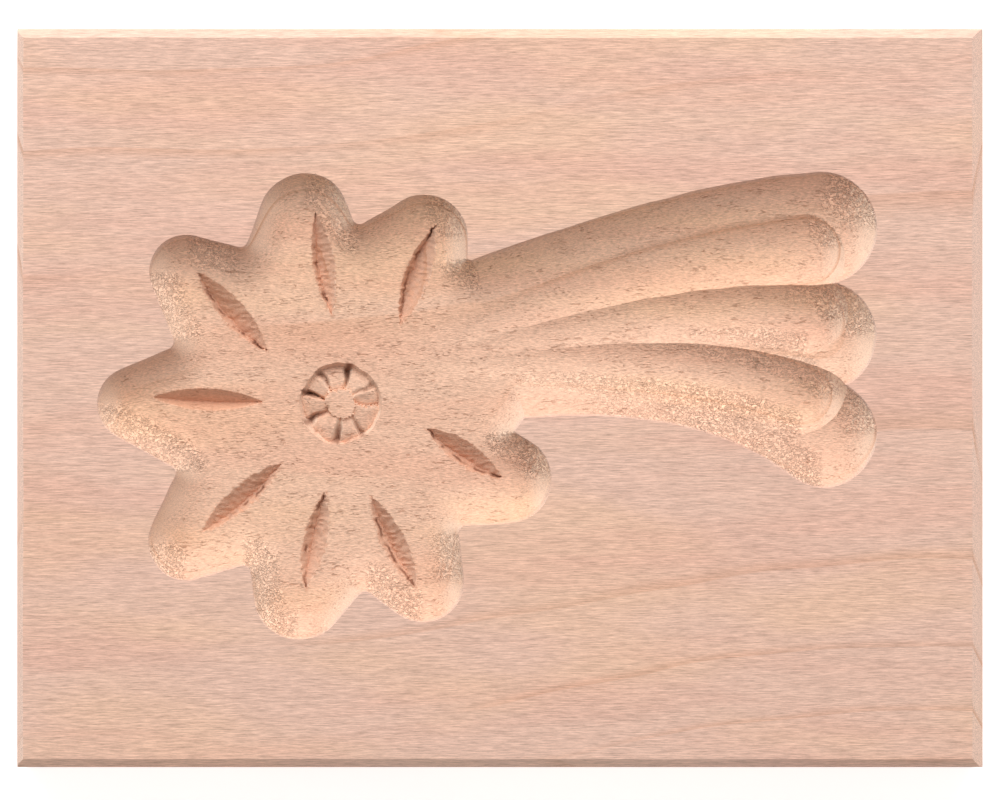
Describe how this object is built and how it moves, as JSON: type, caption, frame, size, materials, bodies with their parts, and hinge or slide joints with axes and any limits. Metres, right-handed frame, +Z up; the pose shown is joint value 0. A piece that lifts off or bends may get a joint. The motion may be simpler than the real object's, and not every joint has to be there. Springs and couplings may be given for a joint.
{
  "type": "carved wooden pastry mould",
  "caption": "Rectangular wooden board with a comet carved into its face as a hollow mould: a petalled star with leaf cuts and a fluted, flaring tail.",
  "frame": {"origin": "centre of the underside, which the board rests on", "axes": "+X along the grain and the long side, towards the comet's tail; +Y across the grain; +Z up, out of the carved face"},
  "size_m": [0.13, 0.0994, 0.018],
  "materials": {
    "bare_wood": "milled and carved, unsealed"
  },
  "bodies": {
    "root": {"mould_block": "bare_wood"}
  },
  "joints": []
}
